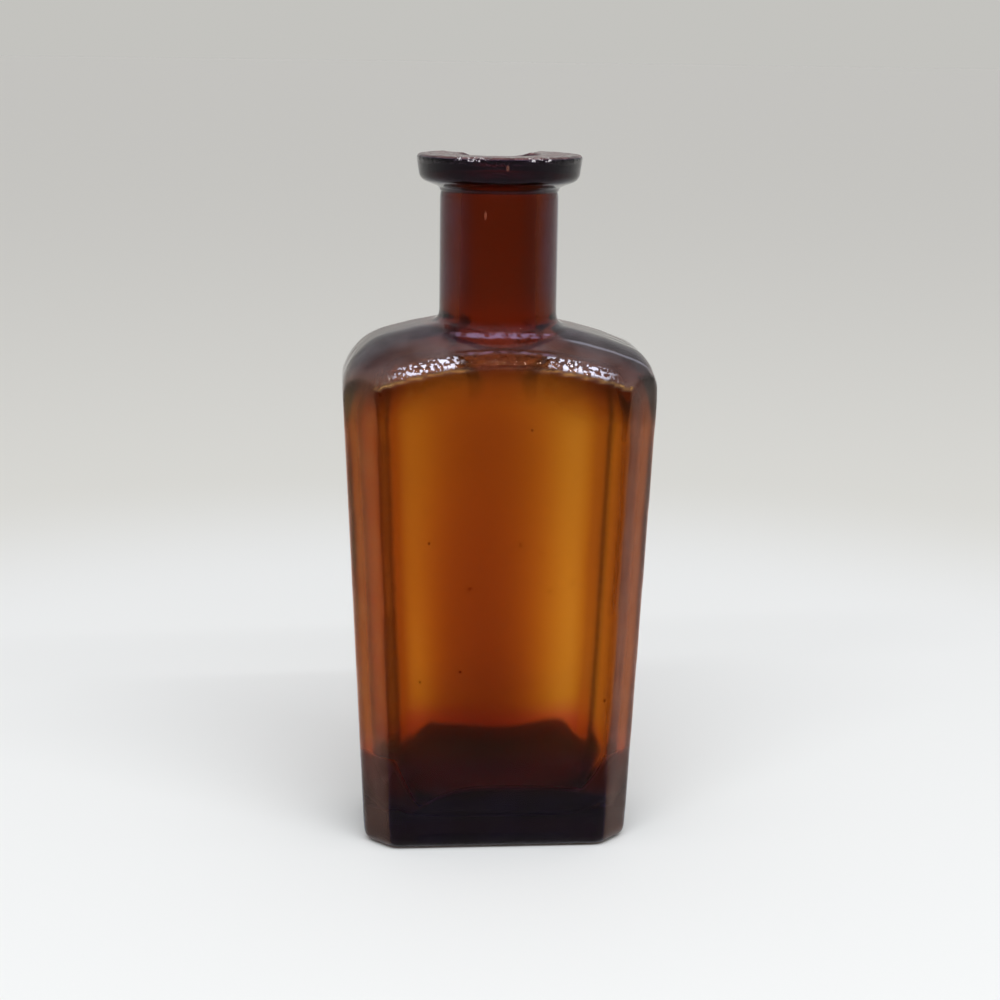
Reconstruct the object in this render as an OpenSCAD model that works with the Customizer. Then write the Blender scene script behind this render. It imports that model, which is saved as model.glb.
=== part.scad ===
// Prescription vial: a mould-blown glass bottle with a chamfered rectangular body, an arched
// shoulder and a straight neck, and a flared lip laid on the end of the neck as a second gather
// of glass. Millimetres, +Z up, origin at the middle of the base, label panels facing -Y and +Y.

/* [Body] */
// Width of the body where the sides end and the shoulder begins
shoulder_w = 48.2; // [45:0.1:51]
// Width of the body at the base, before the heel is rounded
base_w = 42; // [39:0.1:45]
// Depth of the body where the sides end and the shoulder begins
shoulder_d = 28; // [26:0.1:32]
// Depth of the body at the base, before the heel is rounded
base_d = 25.2; // [23.5:0.1:27]
// Height at which the body has its full width and depth
side_h = 72; // [66:0.5:78]
// Leg of the corner chamfers at the shoulder
chamfer_top = 4.9; // [3.5:0.1:6]
// Leg of the corner chamfers at the base
chamfer_base = 4.3; // [3:0.1:5]
// Radius that softens the upright edges at the shoulder
edge_r = 1; // [0.5:0.1:2]
// Radius of the heel between the sides and the base
heel_r = 1.8; // [1.2:0.1:3]

/* [Shoulder] */
// Height of the shoulder's ridge, taken on the axis of the bottle
ridge_z = 83.3; // [81:0.1:88]
// Radius of the long arch that the shoulder makes from side to side
arch_r = 56; // [46:1:70]
// Radius that turns the arch down into the narrow side on the left
left_corner_r = 9.5; // [5:0.5:11]
// Radius that turns the arch down into the narrow side on the right
right_corner_r = 5.5; // [4:0.5:9]
// Degrees by which the ridge leans to the right, a drift of the hand-blown glass
ridge_lean = 1.3; // [0:0.1:2]
// Degrees through which the shoulder rolls from its ridge down to the label panels
roll_turn = 64.5; // [55:0.5:75]
// Half width of the level strip along the ridge, before the roll begins
ridge_half = 4; // [3:0.1:5]

/* [Neck] */
// Outside diameter of the neck
neck_d = 18.2; // [17:0.1:20]
// Diameter of the bore that takes the cork
bore_d = 12; // [10:0.1:13]
// Radius of the fillet between the neck and the shoulder
neck_fillet = 2.4; // [1.6:0.1:3]
// Radius that opens the bore into the body
throat_r = 3; // [2:0.1:4]

/* [Lip] */
// Overall height of the bottle
bottle_h = 108; // [104:0.5:114]
// Diameter of the lip at the rim, before the rim is rounded
lip_d = 25.5; // [24.4:0.1:28]
// Diameter of the lip at the foot of its tapered side
lip_foot_d = 24.4; // [23:0.1:25]
// Height of the tapered side of the lip
lip_side_h = 3.8; // [3:0.1:4.5]
// Height of the sloping underside of the lip
lip_under_h = 1.2; // [0.8:0.1:1.6]
// Height of the collar of the lip that hugs the neck
lip_collar_h = 0.6; // [0.5:0.1:1.4]
// Radius of the rounded rim and of the mouth of the bore
rim_r = 0.6; // [0.3:0.05:0.9]
// Radius that rounds the foot of the tapered side
foot_r = 1.5; // [0.8:0.1:1.8]
// Radius of the hollow corner between the collar and the underside
collar_r = 0.8; // [0.4:0.1:1]
// How far the cracked-off end of the neck reaches up inside the lip
socket_h = 3.6; // [2.5:0.1:4.5]
// Radius by which the neck is drawn in where the lip is laid round it
socket_step = 0.6; // [0.3:0.1:1]

/* [Glass] */
// Thickness of the narrow sides
side_wall = 2.6; // [2:0.1:3.5]
// Thickness of the label panels
panel_wall = 2.4; // [1.8:0.1:3.2]
// Thickness of the shoulder over the cavity
shoulder_wall = 3; // [2.2:0.1:4]
// Thickness of the glass under the cavity
base_wall = 3.6; // [2.8:0.1:5]
// Radius of the rounded corners inside the base
inner_heel_r = 5.5; // [3:0.1:5.8]
// Radius that softens the upright edges of the hollow at the shoulder
inner_edge_r = 3; // [1:0.1:3.5]
// Height of the shallow push-up under the base
push_up = 0.7; // [0.4:0.05:1.2]
// Width of the flat ring round the push-up that the bottle rests on
rest_w = 1.2; // [0.8:0.1:2]

/* [Chip] */
// Width of the chip in the rim
chip_w = 15; // [10:0.5:16]
// Depth of the chip in the rim
chip_depth = 1.4; // [0.6:0.1:1.8]
// Distance of the chip's middle from the bottle's upright centre plane
chip_x = -0.4; // [-2:0.1:2]

/* [Hidden] */

// Overlap that lets two shapes merge without a coincident face
merge = 0.05;
// Thickness of the slices that a loft is hulled from
slice = 0.01;
// Angle between neighbouring slices and points on the lofted curves
arc_step = 5;
// Facets of round parts that are hulled, and of round parts that stay true curves
hull_fn = 32;
round_fn = 96;

neck_r = neck_d / 2;
bore_r = bore_d / 2;
lip_r = lip_d / 2;
lip_foot_r = lip_foot_d / 2;

// The tapered body is lofted past the shoulder to loft_h, so that the shoulder alone shapes
// its top. These are its plan sizes there.
loft_h = ridge_z + merge;
function at_loft_top(base, shoulder) = base + (shoulder - base) * loft_h / side_h;
loft_w = at_loft_top(base_w, shoulder_w);
loft_d = at_loft_top(base_d, shoulder_d);
loft_chamfer = at_loft_top(chamfer_base, chamfer_top);

// Radius of the roll, which reaches from the ridge to the panels in its turn
roll_r = (loft_d / 2 - ridge_half) / sin(roll_turn);

// Levels of the lip, from the rim down to the seat on the neck
lip_foot_z = bottle_h - lip_side_h;
lip_collar_z = lip_foot_z - lip_under_h;
lip_seat_z = lip_collar_z - lip_collar_h;
socket_z = lip_seat_z + socket_h;
socket_r = neck_r - socket_step;

// The arc of radius r that rounds the corner b between the lines to a and c: where it leaves
// the first line, its centre, and where it joins the second line.
function unit(v) = v / norm(v);
function corner_arc(a, b, c, r) =
    let (u = unit(a - b), v = unit(c - b), half = acos(u * v) / 2)
    [b + u * r / tan(half), b + unit(u + v) * r / sin(half), b + v * r / tan(half)];

function arc_steps(angle) = max(2, ceil(angle / arc_step));

// Height that the roll has dropped at a distance y from the ridge.
function roll_drop(y) =
    let (past = max(0, y - ridge_half)) roll_r - sqrt(roll_r * roll_r - past * past);

// Points of one half of the shoulder's front outline, from the narrow side up to the middle of
// the arch, for the half on the right.
function half_outline(half_w, top, arch, corner) =
    let (turn = asin((half_w - corner) / (arch - corner)),
         corner_z = top - arch + (arch - corner) * cos(turn),
         corner_n = arc_steps(90 - turn),
         arch_n = arc_steps(turn))
    concat(
        [for (i = [0 : corner_n - 1]) let (a = i * (90 - turn) / corner_n)
            [half_w - corner + corner * cos(a), corner_z + corner * sin(a)]],
        [for (i = [0 : arch_n]) let (a = turn * (1 - i / arch_n))
            [arch * sin(a), top - arch + arch * cos(a)]]);

// The whole front outline of the shoulder, closed along a level foot.
function shoulder_outline(half_w, top, arch, foot) =
    let (right = half_outline(half_w, top, arch, right_corner_r),
         left = half_outline(half_w, top, arch, left_corner_r))
    concat([[-half_w, foot], [half_w, foot]], right,
        [for (i = [len(left) - 2 : -1 : 0]) [-left[i][0], left[i][1]]]);

// The block whose top is the shoulder: one front outline carried from panel to panel, which
// sinks along the roll and loses its lean as it leaves the ridge. Its foot lies under the base.
module shoulder_block(half_w, half_d, top, arch) {
    outline = shoulder_outline(half_w, top, arch, -roll_r);
    turn = asin((half_d - ridge_half) / roll_r);
    steps = arc_steps(turn);
    hull()
        for (side = [-1, 1], i = [0 : steps]) {
            y = ridge_half + roll_r * sin(turn * i / steps);
            translate([0, side * y, top - roll_drop(y)])
                rotate([90, ridge_lean * (1 - i / steps), 0])
                    translate([0, -top])
                        linear_extrude(slice, center = true)
                            polygon(outline);
        }
}

// Centres of the rounded corners of a chamfered rectangle, with a corner radius r.
function chamfered_corners(w, d, c, r) =
    let (in = r * tan(22.5), x = w / 2, y = d / 2)
    [for (sx = [-1, 1], sy = [-1, 1], p = [[x - c - in, y - r], [x - r, y - c - in]])
        [sx * p[0], sy * p[1]]];

// Tapered body with chamfered corners, drawn in by side and panel on its two pairs of faces.
// The upright edges are softened by edge at the top and by heel at the foot, where the same
// radius rounds the heel.
module tapered_body(side, panel, foot, heel, edge) {
    hull() {
        for (p = chamfered_corners(base_w - 2 * side, base_d - 2 * panel, chamfer_base, heel))
            translate([p[0], p[1], foot + heel])
                sphere(heel, $fn = hull_fn);
        for (p = chamfered_corners(loft_w - 2 * side, loft_d - 2 * panel, loft_chamfer, edge))
            translate([p[0], p[1], loft_h - slice])
                cylinder(h = slice, r = edge, $fn = hull_fn);
    }
}

// Outside of the body and shoulder, a convex form. The hull round the intersection changes
// nothing in it, and keeps it one closed skin.
module outer_form() {
    hull()
        intersection() {
            tapered_body(0, 0, 0, heel_r, edge_r);
            shoulder_block(shoulder_w / 2, loft_d / 2, ridge_z, arch_r);
        }
}

// The hollow inside the body: the outside drawn in by the thickness of each wall.
module inner_form() {
    hull()
        intersection() {
            tapered_body(side_wall, panel_wall, base_wall, inner_heel_r, inner_edge_r);
            shoulder_block(shoulder_w / 2 - side_wall, loft_d / 2 - panel_wall,
                ridge_z - shoulder_wall, arch_r - shoulder_wall);
        }
}

// Neck tube, and the flared foot that runs it into the shoulder: a hollow arc that leaves the
// neck upright and ends in a 45 degree cone, which sinks into the shoulder all round.
module neck() {
    flare = neck_fillet * (1 - cos(45));
    skirt = 2;
    cone_z = ridge_z - roll_drop(neck_r + flare) + merge;
    arc_z = cone_z + neck_fillet * sin(45);
    foot_z = cone_z - skirt;
    translate([0, 0, foot_z]) {
        cylinder(h = lip_seat_z - foot_z, r = neck_r, $fn = round_fn);
        cylinder(h = socket_z - foot_z, r = socket_r, $fn = round_fn);
    }
    rotate_extrude($fn = round_fn)
        difference() {
            polygon([
                [neck_r - merge, arc_z], [neck_r, arc_z], [neck_r + flare, cone_z],
                [neck_r + flare + skirt, foot_z], [neck_r - merge, foot_z]]);
            translate([neck_r + neck_fillet, arc_z])
                circle(neck_fillet, $fn = round_fn);
        }
}

// Bore of the neck, opening through a rounded throat into the body.
module bore(top) {
    throat_z = ridge_z - shoulder_wall;
    translate([0, 0, throat_z - merge])
        cylinder(h = top - throat_z + 2 * merge, r = bore_r, $fn = round_fn);
    rotate_extrude($fn = round_fn)
        difference() {
            translate([0, throat_z - throat_r])
                square([bore_r + throat_r, 2 * throat_r]);
            translate([bore_r + throat_r, throat_z + throat_r])
                circle(throat_r, $fn = round_fn);
        }
}

// Shallow push-up under the base: a round-ended trough with a spherical section.
module push_up_form() {
    half_d = base_d / 2 - heel_r - rest_w;
    half_run = (base_w - base_d) / 2;
    r = (half_d * half_d + push_up * push_up) / (2 * push_up);
    intersection() {
        translate([0, 0, push_up - r]) {
            rotate([0, 90, 0])
                cylinder(h = 2 * half_run, r = r, center = true, $fn = round_fn);
            for (side = [-1, 1])
                translate([side * half_run, 0, 0])
                    sphere(r, $fn = round_fn);
        }
        translate([-base_w / 2, -half_d - 1, -1])
            cube([base_w, 2 * half_d + 2, push_up + 2]);
    }
}

// Blown body, shoulder and neck, one gather of glass.
module vessel() {
    color([0.42, 0.17, 0.03, 0.8])
        difference() {
            union() {
                outer_form();
                neck();
            }
            inner_form();
            bore(socket_z);
            push_up_form();
        }
}

// Half section of the lip, from the bore out to the flared side.
module lip_section() {
    rim = [lip_r, bottle_h];
    foot = [lip_foot_r, lip_foot_z];
    collar = [neck_r, lip_collar_z];
    rim_arc = corner_arc(foot, rim, [bore_r, bottle_h], rim_r);
    foot_arc = corner_arc(collar, foot, rim, foot_r);
    collar_arc = corner_arc([neck_r, lip_seat_z], collar, foot, collar_r);
    difference() {
        union() {
            polygon([
                [bore_r, lip_seat_z], [neck_r, lip_seat_z], collar_arc[0], collar_arc[2],
                foot_arc[0], foot_arc[2], rim_arc[0], rim_arc[2], [bore_r, bottle_h]]);
            translate(rim_arc[1])
                circle(rim_r, $fn = round_fn);
            translate(foot_arc[1])
                circle(foot_r, $fn = round_fn);
        }
        translate(collar_arc[1])
            circle(collar_r, $fn = round_fn);
        translate([0, lip_seat_z - merge])
            square([socket_r, socket_z - lip_seat_z + merge]);
        // rounded mouth of the bore
        difference() {
            translate([bore_r - merge, bottle_h - rim_r])
                square([rim_r + merge, rim_r + merge]);
            translate([bore_r + rim_r, bottle_h - rim_r])
                circle(rim_r, $fn = round_fn);
        }
    }
}

// Lip laid round the end of the neck and tooled to shape, with the chip in the rim behind.
module lip() {
    chip_r = (chip_w * chip_w / 4 + chip_depth * chip_depth) / (2 * chip_depth);
    color([0.2, 0.09, 0.05, 0.95])
        difference() {
            rotate_extrude($fn = round_fn)
                lip_section();
            translate([chip_x, (bore_r + lip_r) / 2, bottle_h - chip_depth + chip_r])
                sphere(chip_r, $fn = round_fn);
        }
}

vessel();
lip();
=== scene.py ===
# %% [markdown]
# # An amber prescription bottle in old blown glass
#
# The bottle comes as two exact solids: the vessel, which is body, shoulder and neck, and the
# lip, a ring of glass laid round the end of the neck. Their shape is right, but they are too
# clean: facets on the shoulder, sharp edges, walls of one thickness. This lesson softens them
# into blown glass, adds what such glass holds and has suffered, paints shade, highlights and
# reflections into its colour, and then lights it.
#
# The first cell loads the solids as a fixed frame. Nothing in the frame is moved or edited:
# each new piece is made from a copy, and then stands in for its solid.

# %% Load the frame
import math
import random

import bpy
import numpy as np
from mathutils import Matrix, Vector, noise


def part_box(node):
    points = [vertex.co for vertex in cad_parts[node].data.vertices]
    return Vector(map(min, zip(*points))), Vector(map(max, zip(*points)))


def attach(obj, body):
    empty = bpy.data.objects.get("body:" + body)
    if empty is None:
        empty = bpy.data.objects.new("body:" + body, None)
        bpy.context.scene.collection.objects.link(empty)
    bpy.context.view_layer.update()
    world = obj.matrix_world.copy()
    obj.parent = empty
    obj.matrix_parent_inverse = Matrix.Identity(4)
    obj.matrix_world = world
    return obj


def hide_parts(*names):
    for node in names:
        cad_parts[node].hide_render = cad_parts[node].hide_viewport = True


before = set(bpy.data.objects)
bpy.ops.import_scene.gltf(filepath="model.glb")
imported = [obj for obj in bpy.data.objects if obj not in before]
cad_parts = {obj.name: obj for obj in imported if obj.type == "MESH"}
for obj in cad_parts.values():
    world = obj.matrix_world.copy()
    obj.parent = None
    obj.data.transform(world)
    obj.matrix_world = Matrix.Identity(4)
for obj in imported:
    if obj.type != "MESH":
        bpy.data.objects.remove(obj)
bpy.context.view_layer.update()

MM = 0.001

# %% [markdown]
# ## Measure before shaping
#
# The first sizes come from the boxes of the two solids. The vessel's box gives the body's width
# and depth, and the lip's box gives the rim's radius and its height. The neck's radius and the
# height at which the shoulder turns into the neck are known from the bottle's drawing. All other
# sizes are given in millimetres, in the cell that uses them.

# %% Sizes read from the frame
vessel_low, vessel_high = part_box("vessel")
lip_low, lip_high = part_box("lip")

half_width = (vessel_high[0] - vessel_low[0]) / 2
half_depth = (vessel_high[1] - vessel_low[1]) / 2
bottle_top = lip_high[2]
rim_radius = (lip_high[0] - lip_low[0]) / 2
neck_radius = 9.1 * MM
shoulder_height = 83 * MM

print(f"half width {half_width / MM:.1f} mm, half depth {half_depth / MM:.1f} mm, "
      f"top {bottle_top / MM:.1f} mm, rim radius {rim_radius / MM:.1f} mm")

# %% [markdown]
# ## Small helpers
#
# An operator works on everything that is selected, and the loaded solids arrive selected. So
# one helper clears the selection and picks a single piece, one copies a solid with its own
# mesh, and one adds a modifier, sets it up and applies it. A solid's mesh is loose triangles,
# each with its own corners, so the copy's doubles are merged before anything else. The last
# helper prints how large a piece has grown.

# %% Helpers: pick, copy, apply, report
MERGE_WITHIN = 0.002 * MM


def pick(piece):
    bpy.ops.object.select_all(action="DESELECT")
    piece.select_set(True)
    bpy.context.view_layer.objects.active = piece


def copy_solid(node, name):
    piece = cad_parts[node].copy()
    piece.data = piece.data.copy()
    piece.parent = None
    piece.matrix_world = Matrix.Identity(4)
    piece.name = piece.data.name = name
    bpy.context.collection.objects.link(piece)
    pick(piece)
    bpy.ops.object.mode_set(mode="EDIT")
    bpy.ops.mesh.select_all(action="SELECT")
    bpy.ops.mesh.remove_doubles(threshold=MERGE_WITHIN)
    bpy.ops.object.mode_set(mode="OBJECT")
    return piece


def apply_modifier(piece, kind, **settings):
    pick(piece)
    modifier = piece.modifiers.new(kind.lower(), kind)
    for name, value in settings.items():
        setattr(modifier, name, value)
    bpy.ops.object.modifier_apply(modifier=modifier.name)


def report(piece):
    faces = piece.data.polygons
    triangles = sum(len(face.vertices) - 2 for face in faces)
    print(f"{piece.name}: {len(piece.data.vertices)} points, {triangles} triangles")


# %% [markdown]
# ## The vessel: melt the facets
#
# Glass that was blown in a mould has no knife edge anywhere. A bevel on every edge would be one
# way to soften it, but the shoulder's many small facets would each get their own. A voxel remesh
# is simpler: it lays one even skin over the whole solid, inside and out, and a smooth modifier
# then melts what is sharp. The voxel is a quarter of the thinnest wall, so the wall survives.

# %% Vessel skin
VESSEL_VOXEL = 0.555 * MM
VESSEL_ROUNDS = 7

vessel = copy_solid("vessel", "vessel_glass")
apply_modifier(vessel, "REMESH", mode="VOXEL", voxel_size=VESSEL_VOXEL)
apply_modifier(vessel, "SMOOTH", factor=0.5, iterations=VESSEL_ROUNDS)
report(vessel)

# %% [markdown]
# ## Which skin is inside?
#
# The outside took the mould's flat faces, but the inside never touched the mould, so it waves
# and its thickness drifts. To treat the two apart, each point gets a number named inside: 1 when
# its normal faces the hollow, 0 when it faces the room. A point's normal is compared with the
# direction from the middle of the bottle at about the same height.

# %% Mark the inner skin
CORE_LOW = 40 * MM
CORE_HIGH = 60 * MM


def read_points(mesh):
    points = np.empty(len(mesh.vertices) * 3)
    normals = np.empty(len(mesh.vertices) * 3)
    mesh.vertices.foreach_get("co", points)
    mesh.vertex_normals.foreach_get("vector", normals)
    return points.reshape(-1, 3), normals.reshape(-1, 3)


def mark(piece, name, values):
    layer = piece.data.attributes.new(name, "FLOAT", "POINT")
    layer.data.foreach_set("value", values)


points, normals = read_points(vessel.data)
core = points.copy()
core[:, :2] = 0
core[:, 2] = np.clip(points[:, 2], CORE_LOW, CORE_HIGH)
inside = (np.einsum("ij,ij->i", points - core, normals) < 0).astype(float)
mark(vessel, "inside", inside)
print(f"{inside.mean():.0%} of the skin is inside")

# %% [markdown]
# ## A soft room behind hard corners
#
# In the body the blown glass drew a soft round room behind the mould's corners, while the bore
# kept its width. So the hollow is smoothed alone, hard in the body and lightly in the bore. A
# vertex group holds the share for each point, in steps, because a step is given to many points
# at once and a share of its own would have to be given to each point in turn.

# %% Smooth the hollow
HOLLOW_ROUNDS = 140
BORE_SHARE = 0.08
SHARE_STEPS = 12
BORE_TO_ROOM = (84 * MM, 72 * MM)


def rise(values, low, high):
    share = np.clip((values - low) / (high - low), 0, 1)
    return share * share * (3 - 2 * share)


hollow_group = vessel.vertex_groups.new(name="hollow")
softness = BORE_SHARE + (1 - BORE_SHARE) * rise(points[:, 2], *BORE_TO_ROOM)
for step in range(1, SHARE_STEPS + 1):
    at_step = (inside > 0.5) & (np.ceil(softness * SHARE_STEPS) == step)
    hollow_group.add(np.flatnonzero(at_step).tolist(), step / SHARE_STEPS, "REPLACE")
apply_modifier(vessel, "SMOOTH", factor=0.5, iterations=HOLLOW_ROUNDS, vertex_group="hollow")
print(f"hollow smoothed {HOLLOW_ROUNDS} times, in {SHARE_STEPS} shares")

# %% [markdown]
# ## Walls of uneven thickness
#
# Where the glass met the mould it chilled and stood still, while the middle of each panel went
# on sagging. So each panel is thick in the middle, more so and more narrowly low down, and thin
# towards its corners, and old amber glass looks red in the middle and golden at the sides. Each
# point of the inner skin moves along its own normal, which points into the hollow: forwards
# makes the wall thicker. The blow was not quite straight either, so the thick middle lies a
# little to the left, and the right side is the thinnest.

# %% How far the inner skin moves
THIN = 1.05 * MM
THIN_RIGHT = 0.35 * MM
THIN_LOW = 0.2 * MM
PANEL_SWELL = 2.15 * MM
SWELL_LOW_DOWN = 1.15
SWELL_LOST_UP = 0.4
SWELL_REACH = 8.2 * MM
SWELL_LOW = 1.3 * MM
SWELL_LEFT = 2.0 * MM
PANEL_FOOT = (7 * MM, 15 * MM)
PANEL_TOP = (75 * MM, 67 * MM)

points, normals = read_points(vessel.data)
height = points[:, 2]
walls = rise(height, *PANEL_FOOT) * rise(height, *PANEL_TOP)
facing = np.abs(normals[:, 1]) ** 6
reach = SWELL_REACH - SWELL_LOW * rise(height, 45 * MM, 15 * MM)
middle = np.exp(-((points[:, 0] + SWELL_LEFT) / reach) ** 2) * facing
up_the_wall = rise(height, 15 * MM, 70 * MM)
swell = PANEL_SWELL * middle * (SWELL_LOW_DOWN - SWELL_LOST_UP * up_the_wall)
on_right = THIN_RIGHT * rise(points[:, 0], 4 * MM, 12 * MM)
low_down = THIN_LOW * rise(height, 45 * MM, 25 * MM)
thin = THIN + (on_right + low_down) * (1 - middle)
inner = walls * (swell - thin)
print(f"walls change by {inner.min() / MM:.2f} to {inner.max() / MM:.2f} mm")

# %% [markdown]
# ## Waves
#
# A soft random wave goes on top of the thickness, drawn out upwards as the glass was. The outer
# skin gets a far weaker wave, because the mould held it, and a finer peel where the shoulder's
# edges left the mould last. No point may end outside the solid's own box.

# %% Move the points
INNER_WAVE = 0.20 * MM
INNER_LENGTH = 9 * MM
OUTER_WAVE = 0.03 * MM
OUTER_LENGTH = 14 * MM
PEEL_WAVE = 0.06 * MM
PEEL_LENGTH = 1.9 * MM
DRAWN_UP = 0.45
EDGE_HEIGHT = 76 * MM
EDGE_SPREAD = 5 * MM


def waves(places, length):
    return np.array([noise.noise(Vector(place) / length) for place in places])


stretched = points * np.array([1, 1, DRAWN_UP])
inner = inner + waves(stretched, INNER_LENGTH) * INNER_WAVE
at_edge = 0.07 + 0.93 * np.exp(-((height - EDGE_HEIGHT) / EDGE_SPREAD) ** 2)
outer = waves(stretched, OUTER_LENGTH) * OUTER_WAVE
outer = outer + waves(points, PEEL_LENGTH) * PEEL_WAVE * at_edge
points += normals * np.where(inside > 0.5, inner, outer)[:, None]
points = np.clip(points, vessel_low, vessel_high)
vessel.data.vertices.foreach_set("co", points.ravel())
vessel.data.update()
print(f"inner skin moves {inner[inside > 0.5].min() / MM:.2f} to "
      f"{inner[inside > 0.5].max() / MM:.2f} mm")

# %% [markdown]
# ## Where dust and wear dull the outside, and a painted reflection
#
# A bottle that stood on a shelf for a century has a haze of dust and fine scratches, most on the
# shoulder, which faces up, and along the corners, where hands and neighbours rubbed it. The same
# number also paints a grey-blue reflection of the sky there, and a faint one on the neck's sides
# and at the heel, while the flat panels stay clean. It is a second number on each point, and the
# glass material lets that share of light scatter instead of passing through. Close round the
# neck the shoulder is almost clear of both.

# %% Haze and painted reflection
SHOULDER_HAZE_AND_SHEEN = 0.095
CORNER_HAZE_AND_SHEEN = 0.05
NECK_SHEEN = 0.027
HEEL_SHEEN = (0.003, 0.004)
SHOULDER_START = (68 * MM, 74 * MM)
NECK_START = (84 * MM, 88 * MM)
CLEAR_ROUND_NECK = (3.6 * MM, 2.6 * MM)
CLEAR_SHARE = 0.8
HAZE_AND_SHEEN_PATCH = 5 * MM

_, normals = read_points(vessel.data)
outward_x, outward_y, upward = np.abs(normals[:, 0]), np.abs(normals[:, 1]), normals[:, 2]
from_neck = np.hypot(points[:, 0], points[:, 1]) - neck_radius
on_shoulder = rise(height, *SHOULDER_START) * rise(upward, 0.12, 0.5)
on_shoulder *= 1 - CLEAR_SHARE * rise(from_neck, *CLEAR_ROUND_NECK)
not_side = rise(outward_x, 0.985, 0.88)
on_corner = rise(outward_x, 0.35, 0.6) * not_side * rise(height, 84 * MM, 74 * MM)
on_neck = NECK_SHEEN * rise(outward_x, 0.45, 0.85) * rise(height, *NECK_START)
at_heel = HEEL_SHEEN[0] * rise(height, 20 * MM, 13 * MM)
at_heel += HEEL_SHEEN[1] * rise(height, 12 * MM, 8 * MM)
# haze: dust and scratches, plus a painted sky reflection on shoulder, corners, neck sides, heel
haze_and_sheen = np.maximum(SHOULDER_HAZE_AND_SHEEN * on_shoulder, CORNER_HAZE_AND_SHEEN * on_corner)
haze_and_sheen = np.maximum.reduce([haze_and_sheen, on_neck, at_heel])
haze_and_sheen *= (1 - inside) * (0.85 + 0.3 * waves(points, HAZE_AND_SHEEN_PATCH))
mark(vessel, "haze_and_sheen", haze_and_sheen)
print(f"haze up to {haze_and_sheen.max():.2f}")

# %% [markdown]
# ## The shoulder's front and back edges
#
# Two more numbers mark the edges of the shoulder over the two panels. The one named crease runs
# along the edge itself, which is a little matt and where a golden line of light is painted. The
# one named peel lies just above it, where the glass left the mould last and puckered. Both are
# found by how far a point's normal has turned up from level.

# %% Crease and peel
EDGE_FOOT = (68 * MM, 71 * MM)
EDGE_TOP = (81 * MM, 78 * MM)
CREASE_TURN = 0.27
CREASE_SPREAD = 0.09

on_edge = (1 - inside) * rise(height, *EDGE_FOOT) * rise(height, *EDGE_TOP)
on_edge *= rise(outward_y, 0.3, 0.55)
peel = on_edge * rise(upward, 0.26, 0.44) * rise(upward, 0.74, 0.60)
# crease: where the golden line of light is painted along the shoulder's edge
crease = on_edge * np.exp(-((upward - CREASE_TURN) / CREASE_SPREAD) ** 2)
crease *= rise(outward_y, 0.8, 0.9)
mark(vessel, "peel", peel)
mark(vessel, "crease", crease)
print(f"peel on {(peel > 0.5).mean():.1%} of the points, crease on {(crease > 0.5).mean():.1%}")

# %% [markdown]
# ## Seeds
#
# Old glass holds seeds, which are air bubbles that never rose out of the melt. A bubble is a
# hole in the glass, so it is a little closed shell whose faces point into the bubble: away from
# the glass, as every other face of the vessel does. Each one is an icosphere, shaped, turned
# inside out and joined to the vessel. In the neck the pull of the pipe has drawn one out long.

# %% Seeds in the walls
NECK_SEED = (-2.7 * MM, -7.7 * MM, 99.3 * MM)
NECK_SEED_STRETCH = 3.2
SEEDS_PER_PANEL = 9
SEED_DEPTH = 2.0 * MM
WALL_LEAN = 1.4 * MM


def add_seed(place, radius, stretch):
    bpy.ops.object.select_all(action="DESELECT")
    bpy.ops.mesh.primitive_ico_sphere_add(subdivisions=3, radius=radius, location=place)
    seed = bpy.context.object
    bpy.ops.object.mode_set(mode="EDIT")
    bpy.ops.mesh.select_all(action="SELECT")
    bpy.ops.transform.resize(value=(1, 1, stretch))
    bpy.ops.mesh.flip_normals()
    bpy.ops.object.mode_set(mode="OBJECT")
    bpy.ops.object.transform_apply(location=True, rotation=True, scale=True)
    return seed


def join_to(piece, others):
    pick(piece)
    for other in others:
        other.select_set(True)
    bpy.ops.object.join()


random.seed(7)
wall_middle = half_depth - SEED_DEPTH
seeds = [add_seed(NECK_SEED, 0.22 * MM, NECK_SEED_STRETCH)]
for side in (-1, 1):
    for _ in range(SEEDS_PER_PANEL):
        across = random.uniform(-0.72, 0.72) * half_width
        seed_height = random.uniform(22, 70) * MM
        taper = WALL_LEAN * (1 - seed_height / (72 * MM))
        place = (across, side * (wall_middle - taper), seed_height)
        seeds.append(add_seed(place, random.uniform(0.1, 0.24) * MM, random.uniform(1, 1.6)))
join_to(vessel, seeds)
report(vessel)

# %% [markdown]
# ## The lip: nicks first, then melt
#
# The lip was laid on hot and tooled round, so it gets the same skin, but finer, because its
# curves are small. Before that it takes its wounds: where the cork was forced, flakes have
# sprung off the rim. A flake leaves a shell-shaped hollow, so each one is cut with a rough
# ball. The large chip at the back is in the solid already, and these are the small ones. One
# seed sits close under the front of the lip.

# %% Lip skin with nicks
LIP_VOXEL = 0.17 * MM
LIP_ROUNDS = 3
LIP_SEED = (0.2 * MM, -11.5 * MM, bottle_top - 1.5 * MM)
FLAKE_INSET = 0.3 * MM
FLAKE_ROUGH = 0.08 * MM
# for each flake: degrees round the rim, the ball's radius in mm, how deep it cuts in mm
FLAKES = ((-24, 1.7, 0.42), (-14, 1.2, 0.34), (-33, 1.0, 0.26), (21, 1.5, 0.3),
          (33, 1.1, 0.24), (-52, 1.3, 0.2), (61, 1.2, 0.22))


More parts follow.
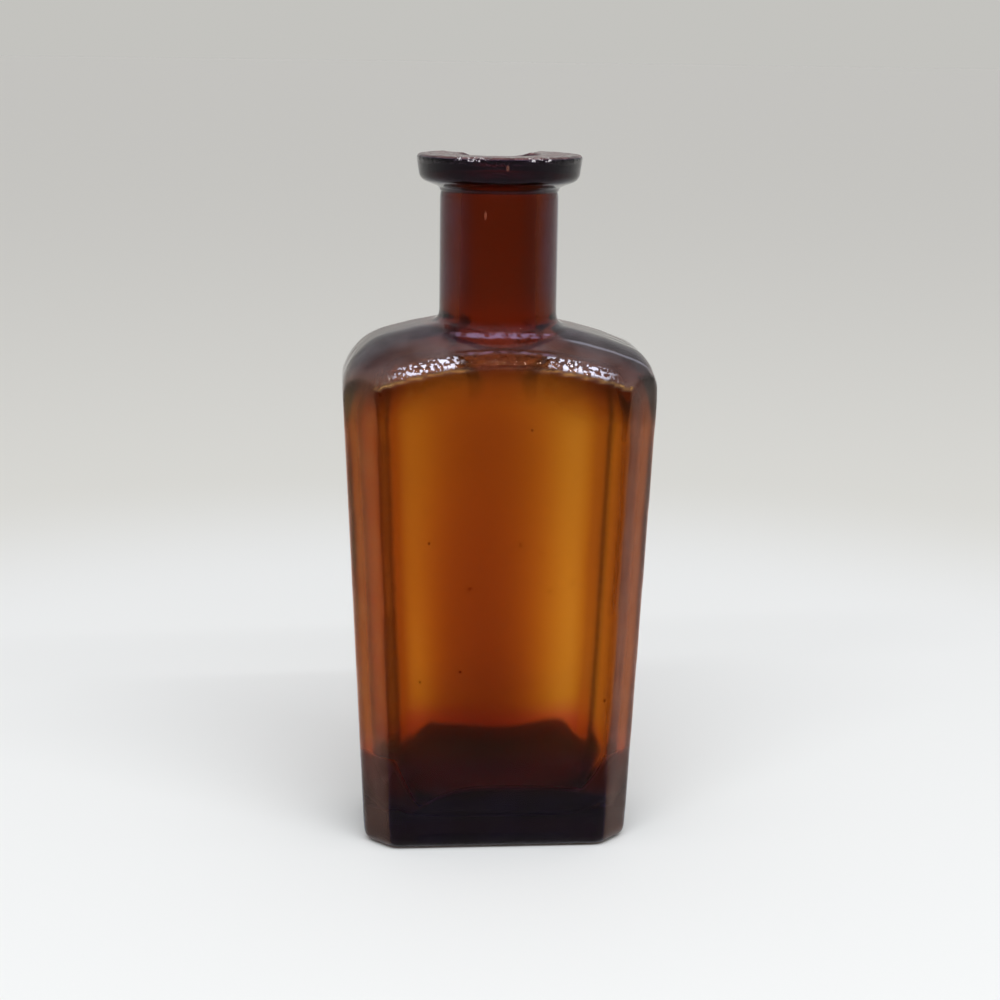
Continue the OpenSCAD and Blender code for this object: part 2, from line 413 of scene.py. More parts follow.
def cut_flake(piece, angle, radius, sink):
    turn = math.radians(angle)
    out = rim_radius - FLAKE_INSET
    place = (out * math.sin(turn), -out * math.cos(turn), bottle_top + radius - sink)
    bpy.ops.object.select_all(action="DESELECT")
    bpy.ops.mesh.primitive_ico_sphere_add(subdivisions=4, radius=radius, location=place)
    flake = bpy.context.object
    bpy.ops.object.mode_set(mode="EDIT")
    bpy.ops.mesh.select_all(action="SELECT")
    bpy.ops.transform.vertex_random(offset=FLAKE_ROUGH, seed=int(angle) % 97)
    bpy.ops.object.mode_set(mode="OBJECT")
    apply_modifier(piece, "BOOLEAN", operation="DIFFERENCE", solver="EXACT", object=flake)
    bpy.data.objects.remove(flake)


lip = copy_solid("lip", "lip_glass")
for angle, radius, sink in FLAKES:
    cut_flake(lip, angle, radius * MM, sink * MM)
apply_modifier(lip, "REMESH", mode="VOXEL", voxel_size=LIP_VOXEL)
apply_modifier(lip, "SMOOTH", factor=0.5, iterations=LIP_ROUNDS)
join_to(lip, [add_seed(LIP_SEED, 0.24 * MM, 1.6)])
report(lip)

# %% [markdown]
# ## A kit for materials
#
# A material is a tree of nodes, and most of its work is sums: how far a point lies from a place,
# and how much of a mark reaches it. This kit adds a node and wires it in one line. Its ramp is a
# soft step between two values, its band a soft stripe at one value, and its spot a soft dot on
# whatever lies in front of a given depth. Everything is measured in Object coordinates, so each
# mark stays where it lies on the glass.

# %% Kit for node trees
class Maker:
    def __init__(self, name, world=False):
        shelf = bpy.data.worlds if world else bpy.data.materials
        self.material = shelf.new(name)
        self.material.use_nodes = True
        self.tree = self.material.node_tree
        self.tree.nodes.clear()

    def put(self, value, socket):
        if isinstance(value, bpy.types.NodeSocket):
            self.tree.links.new(value, socket)
        else:
            socket.default_value = value

    def node(self, kind, inputs=None, **settings):
        made = self.tree.nodes.new(kind)
        for name, value in settings.items():
            setattr(made, name, value)
        for name, value in (inputs or {}).items():
            self.put(value, made.inputs[name])
        return made

    def attribute(self, name):
        return self.node("ShaderNodeAttribute", attribute_name=name).outputs["Fac"]

    def math(self, operation, first, second=0.0, third=0.0, clamp=False):
        made = self.node("ShaderNodeMath", {0: first, 1: second, 2: third},
                         operation=operation, use_clamp=clamp)
        return made.outputs[0]

    def product(self, *factors):
        result = factors[0]
        for factor in factors[1:]:
            result = self.math("MULTIPLY", result, factor)
        return result

    def distance(self, value, centre):
        return self.math("ABSOLUTE", self.math("SUBTRACT", value, centre))

    def length(self, place):
        made = self.node("ShaderNodeVectorMath", {0: place}, operation="LENGTH")
        return made.outputs["Value"]

    def length_of(self, across, along):
        return self.length(self.node("ShaderNodeCombineXYZ", {"X": across, "Y": along}).outputs[0])

    def noise(self, place, scale, detail=3.0):
        made = self.node("ShaderNodeTexNoise", {"Vector": place, "Scale": scale, "Detail": detail})
        return made.outputs["Fac"]

    def ramp(self, value, low, high, out_low=0.0, out_high=1.0):
        made = self.node("ShaderNodeMapRange", {
            "Value": value, "From Min": low, "From Max": high,
            "To Min": out_low, "To Max": out_high})
        made.interpolation_type = "SMOOTHSTEP"
        return made.outputs["Result"]

    def band(self, value, centre, half, soft):
        return self.ramp(self.distance(value, centre), half + soft, half)

    def spot(self, parts, place, radius, stretch, face):
        across = self.math("SUBTRACT", parts["X"], place[0])
        along = self.math("MULTIPLY", self.math("SUBTRACT", parts["Z"], place[2]), 1 / stretch)
        near = self.ramp(self.length_of(across, along), 1.3 * radius, 0.7 * radius)
        return self.math("MULTIPLY", near, self.math("LESS_THAN", parts["Y"], face))

    def mix(self, share, first, second):
        made = self.node("ShaderNodeMix", data_type="RGBA")
        self.put(share, made.inputs[0])
        self.put(first, made.inputs[6])
        self.put(second, made.inputs[7])
        return made.outputs[2]


# %% [markdown]
# ## Amber by thickness
#
# Glass has no colour on its surface: light loses its blue, then its green, on the way through.
# So the colour is a volume absorption, set on the shader's own sockets, and thick places go dark
# by themselves. Absorption is density times one minus the colour, for each metre of glass, so
# both are worked out from the loss in each millimetre. The lip is a second gather and looks
# darker than its thickness alone would make it, so its glass loses more.

# %% Loss of light for each millimetre
ABSORB_PER_MM = (0.19, 0.395, 1.05)
LIP_ABSORB_PER_MM = (0.36, 0.85, 1.3)
DENSITY_MARGIN = 1.02


def glass_colour(per_mm):
    density = max(per_mm) * 1000 * DENSITY_MARGIN
    return density, tuple(1 - 1000 * loss / density for loss in per_mm)


for name, per_mm in (("vessel", ABSORB_PER_MM), ("lip", LIP_ABSORB_PER_MM)):
    left = [f"{math.exp(-3 * loss):.0%}" for loss in per_mm]
    print(f"3 mm of the {name}'s glass leaves", *left, "of red, green and blue")

# %% [markdown]
# ## What every glass shares
#
# A shader for glass lets all light through, apart from what painted shade, dust, wear and painted
# light hold back. There the light scatters and shows a colour of its own. The mirror on top is
# tinted down, because a pale room reflected all over dark glass would lay a grey veil on it.
# Puckers are a small bump, and the lamp sparkles in them.

# %% Close a glass material
GLASS_IOR = 1.51
PUCKER_HEIGHT = 0.20 * MM


def close_glass(make, colour, transmission, roughness, puckers, gloss, per_mm):
    surface = make.node("ShaderNodeBsdfPrincipled", {
        "Base Color": colour, "Transmission Weight": transmission, "Roughness": roughness})
    bump = make.node("ShaderNodeBump", {"Height": puckers, "Distance": PUCKER_HEIGHT})
    make.tree.links.new(bump.outputs[0], surface.inputs["Normal"])
    surface.inputs["IOR"].default_value = GLASS_IOR
    surface.inputs["Specular Tint"].default_value = gloss
    density, absorbed = glass_colour(per_mm)
    volume = make.node("ShaderNodeVolumeAbsorption")
    volume.inputs["Color"].default_value = (*absorbed, 1)
    volume.inputs["Density"].default_value = density
    out = make.node("ShaderNodeOutputMaterial", {
        "Surface": surface.outputs[0], "Volume": volume.outputs[0]})
    out.target = "ALL"
    print(f"{make.material.name}: {len(make.tree.nodes)} nodes")


# %% [markdown]
# ## The vessel's glass: places first
#
# The vessel's material is built over the next cells, one layer at a time. It starts with the
# places that most layers ask for: how far a point lies from the bottle's middle plane and from
# its upright centre line, whether it is on the shoulder, which skin it is on, and its haze with
# its painted reflection.

# %% Places on the vessel
SHOULDER_RISE = (shoulder_height - 13 * MM, shoulder_height - 5 * MM)

glass = Maker("amber_glass")
place = glass.node("ShaderNodeTexCoord").outputs["Object"]
parts = glass.node("ShaderNodeSeparateXYZ", {0: place}).outputs
off_plane = glass.math("ABSOLUTE", parts["Y"])
off_centre = glass.math("ABSOLUTE", parts["X"])
from_axis = glass.length_of(parts["X"], parts["Y"])
shoulder = glass.ramp(parts["Z"], *SHOULDER_RISE)
skin = glass.attribute("inside")
haze_and_sheen_here = glass.attribute("haze_and_sheen")
print(f"{len(glass.tree.nodes)} nodes to find a point's place")

# %% [markdown]
# ## Streaks, painted light on the corners, painted shade at the heel
#
# A surface colour tints all light that passes, and is added where thickness alone doesn't give
# the right shade. The panels have faint streaks, drawn out upwards. The hazy corners scatter
# much of their light, so their colour is set, as a painted reflection and light: golden on the
# left, duller on the right and redder low down. Towards the heel the panels are painted red and
# then purple-brown, a painted shade low in the bottle.

# %% Tints of the body
STREAKS = ((0.97, 0.70, 0.33, 1), (1.0, 0.74, 0.37, 1))
CORNER_SHEEN_LEFT = (1.0, 0.56, 0.17, 1)
CORNER_SHEEN_RIGHT = (0.80, 0.50, 0.34, 1)
CORNER_SHEEN_LOW = (1.0, 0.43, 0.30, 1)
PANEL_LOW_SHADE = (0.84, 0.27, 0.55, 1)
HEEL_SHADE = (0.34, 0.22, 0.70, 1)
LOW_SHADE_STEPS = ((18 * MM, 13 * MM, PANEL_LOW_SHADE), (11 * MM, 8 * MM, HEEL_SHADE))
STREAKS_PER_METRE = 160.0

drawn_out = glass.node("ShaderNodeMapping", {"Vector": place, "Scale": (1, 1, 0.3)})
panel = glass.mix(glass.noise(drawn_out.outputs[0], STREAKS_PER_METRE), *STREAKS)
# painted reflection and light on the corners: golden on the left, duller on the right, redder low
corner_sheen = glass.mix(glass.ramp(parts["X"], -8 * MM, 8 * MM), CORNER_SHEEN_LEFT, CORNER_SHEEN_RIGHT)
corner_sheen = glass.mix(glass.ramp(parts["Z"], 22 * MM, 14 * MM), corner_sheen, CORNER_SHEEN_LOW)
off_corner = glass.ramp(haze_and_sheen_here, 0.035, 0.015)
tint = glass.mix(off_corner, corner_sheen, panel)
# painted shade: the panels turn red and then purple-brown towards the heel
for start, end, low_shade in LOW_SHADE_STEPS:
    low = glass.math("MULTIPLY", glass.ramp(parts["Z"], start, end), off_corner)
    tint = glass.mix(low, tint, low_shade)
print(f"{len(glass.tree.nodes)} nodes with the body's tints")

# %% [markdown]
# ## Shoulder and neck
#
# The shoulder is greyer, with a painted grey reflection of the sky over its dust, and a painted
# shade makes it darkest along its crown. The foot of the neck spreads into a round bowl, which is
# clearer and redder, with a painted dark line of shade round it at the front and back. The neck
# is a deep red, and its sides have a painted violet reflection.

# %% Tints of the shoulder and neck
SHOULDER_SHEEN = (0.56, 0.47, 0.49, 1)
CROWN_SHADE = (0.28, 0.20, 0.16, 1)
BOWL = (0.74, 0.34, 0.38, 1)
BOWL_RIM_SHADE = (0.16, 0.09, 0.16, 1)
BOWL_RIM_SHADE_SHARE = 0.8
BOWL_EDGE = (12.2 * MM, 11.8 * MM)
BOWL_RIM_RADIUS = 12.35 * MM
NECK_RISE = (shoulder_height - 3 * MM, shoulder_height + 5 * MM)
NECK = (0.62, 0.325, 0.52, 1)
NECK_SIDE_SHEEN = (0.50, 0.33, 0.70, 1)

# painted grey reflection of the sky on the shoulder, over its dust
tint = glass.mix(shoulder, tint, SHOULDER_SHEEN)
# painted shade, darkest along the crown
crown_shade = glass.math("MULTIPLY", shoulder, glass.ramp(off_plane, 7.5 * MM, 4.5 * MM))
tint = glass.mix(crown_shade, tint, CROWN_SHADE)
bowl = glass.math("MULTIPLY", shoulder, glass.ramp(from_axis, *BOWL_EDGE))
tint = glass.mix(bowl, tint, BOWL)
# painted shade: a dark line round the bowl at the front and back
bowl_rim_shade = glass.product(shoulder, glass.ramp(off_plane, 9 * MM, 10.5 * MM),
                         glass.band(from_axis, BOWL_RIM_RADIUS, 0.2 * MM, 0.3 * MM))
tint = glass.mix(glass.math("MULTIPLY", bowl_rim_shade, BOWL_RIM_SHADE_SHARE), tint, BOWL_RIM_SHADE)
neck = glass.ramp(parts["Z"], *NECK_RISE)
tint = glass.mix(neck, tint, NECK)
# painted violet reflection on the neck's sides
neck_side_sheen = glass.math("MULTIPLY", neck, glass.ramp(haze_and_sheen_here, 0.008, 0.022))
tint = glass.mix(neck_side_sheen, tint, NECK_SIDE_SHEEN)
print(f"{len(glass.tree.nodes)} nodes with all tints")

# %% [markdown]
# ## Painted shade low in the bottle: the walls
#
# Low in the bottle the inner skin is painted a dark red-brown, a painted shade for the dark ground
# and shadow seen through the glass there. On the back and side walls it lies under a wandering
# line, which lies a little lower at the back and drops in the back's corners. The front wall has
# none of it. That wall bulges into the hollow in its middle, so the depth at which the shade
# stops follows the bulge. The shade is densest on the back wall.

# %% Painted shade on the back and side walls
SHADE_HEIGHT = 13.9 * MM
SHADE_WANDER = 1.6 * MM
SHADE_MIDDLE = 1.5 * MM
REAR_CORNER_DROP = 2.4 * MM
REAR_DROP = 0.9 * MM
FRONT_BULGE = 3.0 * MM
SHADE_SHARE = 0.68
REAR_SHARE = 0.27
FRONT_LIMIT = (-10.2 * MM, -9.2 * MM)

# painted shade on the back and side walls, under a wandering line
rear = glass.ramp(parts["Y"], 0.0, 7 * MM)
rear_corners = glass.ramp(glass.distance(parts["X"], SHADE_MIDDLE), 8 * MM, 16 * MM)
rear_corners = glass.math("MULTIPLY", rear_corners, rear)
line = glass.math("MULTIPLY_ADD", glass.noise(place, 90.0, 5.0), SHADE_WANDER, SHADE_HEIGHT)
line = glass.math("MULTIPLY_ADD", rear_corners, -REAR_CORNER_DROP, line)
line = glass.math("MULTIPLY_ADD", rear, -REAR_DROP, line)
under_line = glass.math("SUBTRACT", line, parts["Z"])
thin_shade = glass.ramp(under_line, -0.4 * MM, 0.9 * MM, 0.0, SHADE_SHARE)
thick_shade = glass.ramp(under_line, 0.5 * MM, 3.5 * MM, 0.0, REAR_SHARE)
wall_shade = glass.math("MULTIPLY_ADD", thick_shade, rear, thin_shade)
off_swell = glass.math("ABSOLUTE", glass.math("ADD", parts["X"], SWELL_LEFT))
bulge = glass.ramp(off_swell, 14 * MM, 5 * MM, 0.0, FRONT_BULGE)
off_front = glass.ramp(glass.math("SUBTRACT", parts["Y"], bulge), *FRONT_LIMIT)
off_front = glass.math("MAXIMUM", off_front, glass.ramp(parts["Z"], 6 * MM, 4.5 * MM))
wall_shade = glass.math("MULTIPLY", wall_shade, off_front)
print(f"film up to {(SHADE_HEIGHT + SHADE_WANDER) / MM:.1f} mm above the table at most")

# %% [markdown]
# ## Painted shade low in the bottle: the pool
#
# Low on the front wall the painted shade is a pool, almost black, whose top edge is a flat arch:
# level in the middle and falling off fast at its ends, as a high power does. It covers the floor
# too. The painted shade belongs to the inner skin alone, and its colour takes over early, where
# it is still thin, or a bright fringe would run along its edge.

# %% Pool and floor
POOL_HEIGHT = 9.8 * MM
POOL_MIDDLE = 3 * MM
POOL_REACH = 19.5 * MM
POOL_POWER = 4.0
POOL_SHARE = 0.98
SHADE_TAKES_OVER = 0.4
SHADE_BROWN = (0.11, 0.013, 0.024, 1)
POOL_SHADE = (0.006, 0.005, 0.014, 1)

# painted shade: an almost black pool low on the front wall, and the floor
out_share = glass.math("MULTIPLY", glass.distance(parts["X"], POOL_MIDDLE), 1 / POOL_REACH)
fall = glass.math("POWER", out_share, POOL_POWER)
arch = glass.math("MULTIPLY_ADD", fall, -POOL_HEIGHT, POOL_HEIGHT)
pool = glass.ramp(glass.math("SUBTRACT", arch, parts["Z"]), -0.7 * MM, 0.9 * MM)
pool = glass.math("MULTIPLY", pool, glass.ramp(parts["Y"], 1 * MM, -4 * MM, 0.0, POOL_SHARE))
floor = glass.ramp(parts["Z"], 6 * MM, 4.8 * MM)
painted_shade = glass.math("MAXIMUM", wall_shade, glass.math("MAXIMUM", pool, floor))
painted_shade = glass.math("MULTIPLY", painted_shade, skin, clamp=True)
shade_colour = glass.mix(pool, SHADE_BROWN, POOL_SHADE)
colour = glass.mix(glass.ramp(painted_shade, 0.0, SHADE_TAKES_OVER), tint, shade_colour)
print(f"pool up to {POOL_HEIGHT / MM:.1f} mm, {len(glass.tree.nodes)} nodes")

# %% [markdown]
# ## Dust and painted reflection in patches
#
# The haze and painted reflection that was marked on the points is smooth, and real dust lies in
# patches, so a noise makes it a third more here and a third less there. In the middle of the
# shoulder's front and back edges both are taken away.

# %% Dust and painted reflection
LEAST_DUST_AND_SHEEN = 0.65
MOST_DUST_AND_SHEEN = 1.35
EDGE_MIDDLE = (9 * MM, 6.5 * MM)
EDGE_DEPTH = (11.9 * MM, 12.3 * MM)

# dust and painted reflection in patches, taken away in the middle of the shoulder's edges
patches = glass.ramp(glass.noise(place, 260.0, 4.0), 0.30, 0.70, LEAST_DUST_AND_SHEEN, MOST_DUST_AND_SHEEN)
near_middle = glass.ramp(off_centre, *EDGE_MIDDLE)
kept_clear = glass.product(near_middle, glass.ramp(off_plane, *EDGE_DEPTH), shoulder)
dust_and_painted_light = glass.math("MULTIPLY", haze_and_sheen_here, patches)
dust_and_painted_light = glass.math("MULTIPLY", dust_and_painted_light, glass.math("SUBTRACT", 1.0, kept_clear))
print(f"{len(glass.tree.nodes)} nodes with the dust")

# %% [markdown]
# ## Painted highlights on the shoulder
#
# Four painted highlights lie on the shoulder's outside. A pale one, the ridge, runs down its
# right, in front of the crown. A lilac line, the bead, curls round in front of the neck's foot,
# and a thinner one, the brow, lies in front of that. Just above the crease, away from the middle,
# pale glints are painted over the puckered glass. Each mark is a band, times what keeps it to its
# place. The bead follows an oval, wider than deep, so its distance is measured with the width
# pressed together.

# %% Painted highlights: ridge, bead, brow and glints
BEAD_PRESS = 0.62
BEAD_RADIUS = 10.2 * MM
BEAD_HIGHLIGHT_SHARE = 0.24
BROW_DEPTH = 12.55 * MM
BROW_HIGHLIGHT_SHARE = 0.14
RIDGE_DEPTH = -9.6 * MM
RIDGE_HIGHLIGHT_SHARE = 0.14
GLINT_DEPTH = 13.25 * MM
GLINT_SHARE = 0.80

outer_shoulder = glass.math("MULTIPLY", glass.math("SUBTRACT", 1.0, skin), shoulder)
# painted highlights: the ridge, the bead, the brow and the glints
highlight_grain = glass.ramp(glass.noise(place, 900.0, 2.0), 0.38, 0.62, 0.15, 1.0)
ridge_highlight = glass.product(glass.band(parts["Y"], RIDGE_DEPTH, 0.1 * MM, 0.35 * MM), outer_shoulder,
                      glass.ramp(parts["X"], 8 * MM, 11 * MM, 0.0, RIDGE_HIGHLIGHT_SHARE))
oval = glass.length_of(glass.math("MULTIPLY", parts["X"], BEAD_PRESS), parts["Y"])
bead_highlight = glass.product(glass.band(oval, BEAD_RADIUS, 0.2 * MM, 0.5 * MM), outer_shoulder, highlight_grain,
                     glass.ramp(off_plane, 3 * MM, 6 * MM, 0.0, BEAD_HIGHLIGHT_SHARE),
                     glass.ramp(off_centre, 8.2 * MM, 6.8 * MM))
brow_highlight = glass.product(glass.band(off_plane, BROW_DEPTH, 0.06 * MM, 0.22 * MM), outer_shoulder,
                     highlight_grain, glass.math("MULTIPLY", near_middle, BROW_HIGHLIGHT_SHARE))
specks = glass.ramp(glass.noise(place, 1800.0, 1.5), 0.51, 0.60)
glints = glass.product(glass.band(off_plane, GLINT_DEPTH, 0.35 * MM, 0.35 * MM), outer_shoulder,
                       specks, glass.ramp(off_centre, 5.5 * MM, 8 * MM),
                       glass.ramp(off_centre, 18.5 * MM, 13 * MM, 0.0, GLINT_SHARE))
print(f"{len(glass.tree.nodes)} nodes with the shoulder's marks")

# %% [markdown]
# ## Painted light on the crease, the neck's seed, and a colour for each mark
#
# The crease is a little matt, and a golden line of light is painted along it, less in its
# middle. The drawn-out seed in the neck lies close under the surface, and a faint reddish dash
# of painted light on the glass in front of it makes it show. Each mark holds back its share of
# the light and brings its own colour with it: gold, lilac, near white and red.

# %% Colour the marks
CREASE_LIGHT_GOLD = (0.97, 0.60, 0.24, 1)
LILAC = (0.62, 0.42, 0.66, 1)
GLINT = (0.82, 0.80, 0.92, 1)
SEED_LIGHT_RED = (0.95, 0.32, 0.18, 1)
SEED_LIGHT_SHARE = 0.12
LEAST_CREASE_LIGHT = 0.09
MOST_CREASE_LIGHT = 0.22
CREASE_LIGHT_IN_MIDDLE = 0.25
NECK_FRONT = -6.5 * MM

# painted golden line of light along the crease, less in its middle
wear_and_light_patches = glass.ramp(glass.noise(place, 1100.0), 0.35, 0.65, LEAST_CREASE_LIGHT, MOST_CREASE_LIGHT)
wear_and_painted_light = glass.product(glass.attribute("crease"), wear_and_light_patches,
                     glass.ramp(off_centre, 4 * MM, 8 * MM, CREASE_LIGHT_IN_MIDDLE, 1.0))
# painted highlights: lilac for the bead and brow, pale for the glints and ridge
lilac = glass.math("MAXIMUM", bead_highlight, brow_highlight)
pale = glass.math("MAXIMUM", glints, ridge_highlight)
# painted reddish light of the neck's seed
seed_light = glass.spot(parts, NECK_SEED, 0.2 * MM, NECK_SEED_STRETCH, NECK_FRONT)
seed_light = glass.math("MULTIPLY", seed_light, SEED_LIGHT_SHARE)
colour = glass.mix(glass.ramp(wear_and_painted_light, 0.01, 0.1), colour, CREASE_LIGHT_GOLD)
colour = glass.mix(glass.ramp(lilac, 0.02, 0.15), colour, LILAC)
colour = glass.mix(glass.ramp(pale, 0.02, 0.2), colour, GLINT)
colour = glass.mix(glass.ramp(seed_light, 0.0, 0.06), colour, SEED_LIGHT_RED)
marks = glass.math("ADD", glass.math("ADD", lilac, pale), wear_and_painted_light)
dust_and_painted_light = glass.math("ADD", glass.math("ADD", dust_and_painted_light, marks), seed_light, clamp=True)
print(f"{len(glass.tree.nodes)} nodes with the marks coloured")

# %% [markdown]
# ## Put the vessel's glass together
#
# The painted shade, the dust and the painted light hold light back, and the rest passes. The
# inner skin has gone a little dull from what was kept in it, more so at the sides, and blurs what
# lies behind it. The painted shade and the dust are rough as well. The puckers are a fine noise,
# only where the number named peel is.

# %% Vessel glass
VESSEL_GLOSS = (0.20, 0.16, 0.13, 1)
SHADE_ROUGH = 0.45
DUST_ROUGH = 3.5
INNER_ROUGH = 0.14
INNER_ROUGH_SIDES = 0.25

passes = glass.math("SUBTRACT", glass.math("SUBTRACT", 1.0, painted_shade), dust_and_painted_light)
inner_rough = glass.ramp(off_centre, 11.5 * MM, 14.5 * MM, INNER_ROUGH, INNER_ROUGH_SIDES)
inner_rough = glass.math("MULTIPLY", skin, inner_rough)
rough = glass.math("MULTIPLY_ADD", painted_shade, SHADE_ROUGH, inner_rough)
body_dust_and_sheen = glass.math("MULTIPLY", dust_and_painted_light, glass.math("SUBTRACT", 1.0, shoulder))
rough = glass.math("MULTIPLY_ADD", body_dust_and_sheen, DUST_ROUGH, rough)
puckers = glass.math("MULTIPLY", glass.noise(place, 800.0, 1.5), glass.attribute("peel"))
close_glass(glass, colour, passes, rough, puckers, VESSEL_GLOSS, ABSORB_PER_MM)

# %% [markdown]
# ## The lip's glass
#
# The lip is dark and plain, but its top is worn rough in patches by a century of corks and
# fingers, and a pink-brown reflection is painted there. At the front edge, to the left and right
# of the middle, pale glints are painted on the nicked rim, and the seed under it shows as a
# painted reddish dash of light.

# %% Lip glass
LIP_AMBER = (0.45, 0.28, 0.5, 1)
LIP_WORN_SHEEN = (0.34, 0.15, 0.13, 1)
LIP_GLINT = (0.86, 0.80, 0.78, 1)
LIP_SEED_LIGHT_RED = (0.90, 0.42, 0.26, 1)
LIP_GLOSS = (0.27, 0.21, 0.29, 1)
LIP_GLINT_SHARE = 0.65
LIP_SEED_LIGHT_SHARE = 0.09
LEAST_RUBBED_SHEEN = 0.12
MOST_RUBBED_SHEEN = 0.42
WORN_ROUGH = 0.8

ring = Maker("lip_glass")
place = ring.node("ShaderNodeTexCoord").outputs["Object"]
parts = ring.node("ShaderNodeSeparateXYZ", {0: place}).outputs
# the top: rough wear in patches, with a painted pink-brown reflection
top = ring.ramp(parts["Z"], bottle_top - 0.4 * MM, bottle_top - 0.15 * MM)
wear_and_light_patches = ring.ramp(ring.noise(place, 520.0, 5.0), 0.30, 0.72, LEAST_RUBBED_SHEEN, MOST_RUBBED_SHEEN)
specks = ring.ramp(ring.noise(place, 2300.0, 1.0), 0.54, 0.61)
off_centre = ring.math("ABSOLUTE", parts["X"])
# painted glints on the nicked rim
glints = ring.product(specks, ring.band(off_centre, 5.2 * MM, 1.7 * MM, 1.0 * MM),
                      ring.ramp(parts["Y"], -9 * MM, -10 * MM),
                      ring.band(parts["Z"], bottle_top - 0.3 * MM, 0.2 * MM, 0.2 * MM))
# painted reddish light of the lip's seed
seed_light = ring.spot(parts, LIP_SEED, 0.24 * MM, 2.0, -10 * MM)
colour = ring.mix(top, LIP_AMBER, LIP_WORN_SHEEN)
colour = ring.mix(glints, colour, LIP_GLINT)
colour = ring.mix(seed_light, colour, LIP_SEED_LIGHT_RED)
wear_and_painted_light = ring.math("MULTIPLY", top, wear_and_light_patches)
wear_and_painted_light = ring.math("MAXIMUM", wear_and_painted_light, ring.math("MULTIPLY", glints, LIP_GLINT_SHARE))
wear_and_painted_light = ring.math("MAXIMUM", wear_and_painted_light, ring.math("MULTIPLY", seed_light, LIP_SEED_LIGHT_SHARE))
edge = ring.ramp(parts["Z"], bottle_top - 1.4 * MM, bottle_top - 0.5 * MM)
puckers = ring.math("MULTIPLY", ring.noise(place, 1100.0, 2.0), edge)
passes = ring.math("SUBTRACT", 1.0, wear_and_painted_light)
rough = ring.math("MULTIPLY", wear_and_painted_light, WORN_ROUGH)
close_glass(ring, colour, passes, rough, puckers, LIP_GLOSS, LIP_ABSORB_PER_MM)

# %% [markdown]
# ## Dress the pieces and hand them to the frame
#
# Each piece gets its glass and smooth shading. The bottle is one rigid body, so both pieces ride
# on the root. Each stands in for the solid that it was made from and takes that solid's material
# slot.

# %% Dress, ride, replace, slot
def dress(piece, material):
    piece.data.materials.clear()
    piece.data.materials.append(material)
    pick(piece)
    bpy.ops.object.shade_smooth()


dress(vessel, glass.material)
dress(lip, ring.material)
for piece, node, slot in ((vessel, "vessel", "amber_glass"), (lip, "lip", "lip_glass")):
    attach(piece, "root")
    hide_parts(node)
    print(f"{piece.name} stands in for {node}, in slot {slot}")

# %% [markdown]
# ## Table
#
# Dark glass needs a pale ground behind it, or its colour never shows. The table is one large
# pale disc of paper, whose colour is painted a little darker behind the bottle, a painted shade
# where the light falls off.

# %% Table
TABLE_RADIUS = 30.0
NEAR_PAPER = (0.86, 0.84, 0.79, 1)
FAR_PAPER_SHADE = (0.766, 0.735, 0.658, 1)
PAPER_FADE = (0.15, 0.28)

bpy.ops.object.select_all(action="DESELECT")
bpy.ops.mesh.primitive_circle_add(vertices=128, radius=TABLE_RADIUS, fill_type="NGON")
table = bpy.context.object
table.name = "table"
paper = Maker("table_paper")
from_middle = paper.length(paper.node("ShaderNodeTexCoord").outputs["Object"])
# painted shade: the paper darker away from the bottle
shade = paper.mix(paper.ramp(from_middle, *PAPER_FADE), NEAR_PAPER, FAR_PAPER_SHADE)
sheet = paper.node("ShaderNodeBsdfPrincipled", {"Base Color": shade, "Roughness": 0.9})
sheet.inputs["Specular IOR Level"].default_value = 0.1
paper.node("ShaderNodeOutputMaterial", {"Surface": sheet.outputs[0]})
table.data.materials.append(paper.material)
print(f"table of {TABLE_RADIUS:.0f} m radius, so that its edge is lost in the distance")

# %% [markdown]
# ## World
#
# The world is a soft light grey, warmer at the horizon and cooler overhead. High in front it has
# one broad brighter patch, like a window with thin curtains, which lights the shoulder. Nearly
# all the light comes from the world, so that no lamp but one shows in the glass.

# %% World
HORIZON = (0.55, 0.545, 0.52, 1)
OVERHEAD = (0.50, 0.51, 0.53, 1)
WINDOW = (1.35, 1.4, 1.55, 1)
WINDOW_WAY = (0.0, -0.5, 0.866)

sky = Maker("studio", world=True)
bpy.context.scene.world = sky.material
look = sky.node("ShaderNodeTexCoord").outputs["Generated"]
up = sky.node("ShaderNodeSeparateXYZ", {0: look}).outputs["Z"]
dome = sky.mix(sky.ramp(up, 0.03, 0.40), HORIZON, OVERHEAD)
toward = sky.node("ShaderNodeVectorMath", {0: look, 1: WINDOW_WAY}, operation="DOT_PRODUCT")
dome = sky.mix(sky.ramp(toward.outputs["Value"], 0.70, 0.97), dome, WINDOW)
glow = sky.node("ShaderNodeBackground", {"Color": dome, "Strength": 1.0})
sky.node("ShaderNodeOutputWorld", {"Surface": glow.outputs[0]})
print(f"{sky.material.name}: {len(sky.tree.nodes)} nodes")

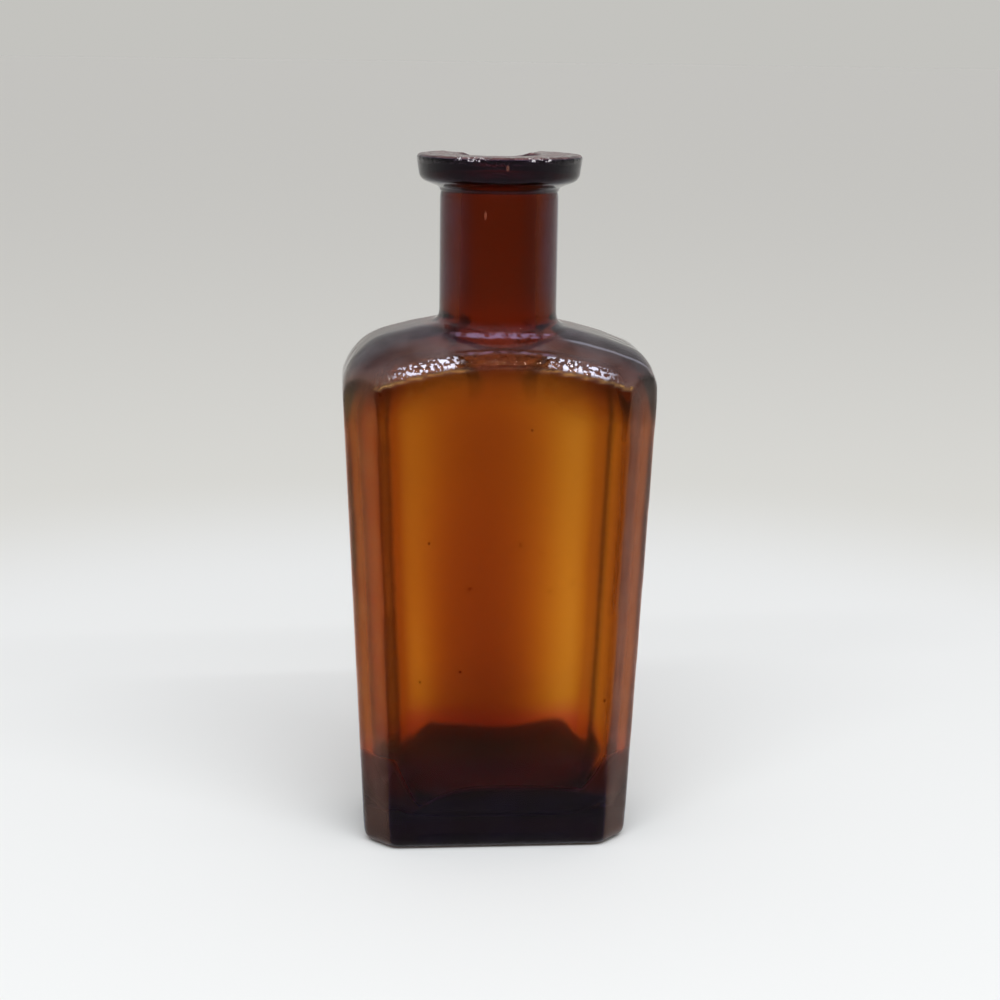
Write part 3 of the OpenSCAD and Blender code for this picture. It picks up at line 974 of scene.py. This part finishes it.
# %% [markdown]
# ## Lamp
#
# Glass shows its lamps, so their shapes matter more than their power. The only one is a long
# thin strip in front and above, like the bright top edge of a window: it sparkles in the puckers
# along the shoulder's front edge and in the nicks of the rim, and adds little light besides.

# %% Lamp
STRIP_PLACE = Vector((0.03, -0.42, 0.56))
STRIP_AIM = Vector((0, 0, 0.05))
STRIP_SIZE = (1.0, 0.012)
STRIP_WATTS = 3.0
STRIP_COLOUR = (0.88, 0.94, 1)

bpy.ops.object.light_add(type="AREA", location=STRIP_PLACE)
strip = bpy.context.object
strip.name = "window_strip"
strip.data.shape = "RECTANGLE"
strip.data.size, strip.data.size_y = STRIP_SIZE
strip.data.energy = STRIP_WATTS
strip.data.color = STRIP_COLOUR
strip.rotation_euler = (STRIP_AIM - STRIP_PLACE).to_track_quat("-Z", "Y").to_euler()
print(f"strip of {STRIP_WATTS:.0f} W, {(STRIP_AIM - STRIP_PLACE).length:.2f} m away")

# %% [markdown]
# ## Camera
#
# The camera stands a little to the left of square and looks slightly down on the bottle from
# just above its rim, as someone who has put it on a table would. A camera looks along its own
# -Z axis, so its turn is built from a heading, a downward tilt and a small roll.

# %% Camera
EYE_DISTANCE = 304 * MM
EYE_ABOVE_RIM = math.radians(2.8)
EYE_LEFT = math.radians(4.749)
HEADING = EYE_LEFT + math.radians(0.143)
TILT_DOWN = math.radians(12.787)
ROLL = math.radians(0.773)
LENS = 70.78

eye = Vector((-EYE_DISTANCE * math.sin(EYE_LEFT), -EYE_DISTANCE * math.cos(EYE_LEFT),
              bottle_top + EYE_DISTANCE * math.tan(EYE_ABOVE_RIM)))
turn = (Matrix.Rotation(-HEADING, 4, "Z") @ Matrix.Rotation(math.pi / 2 - TILT_DOWN, 4, "X")
        @ Matrix.Rotation(ROLL, 4, "Z"))
bpy.ops.object.camera_add(location=eye, rotation=turn.to_euler())
camera = bpy.context.object
camera.data.sensor_width = 36
camera.data.lens = LENS
camera.data.clip_start = 0.01
bpy.context.scene.camera = camera
bpy.context.scene.view_settings.view_transform = "Standard"
print("eye at", [round(value / MM, 1) for value in eye], "mm")
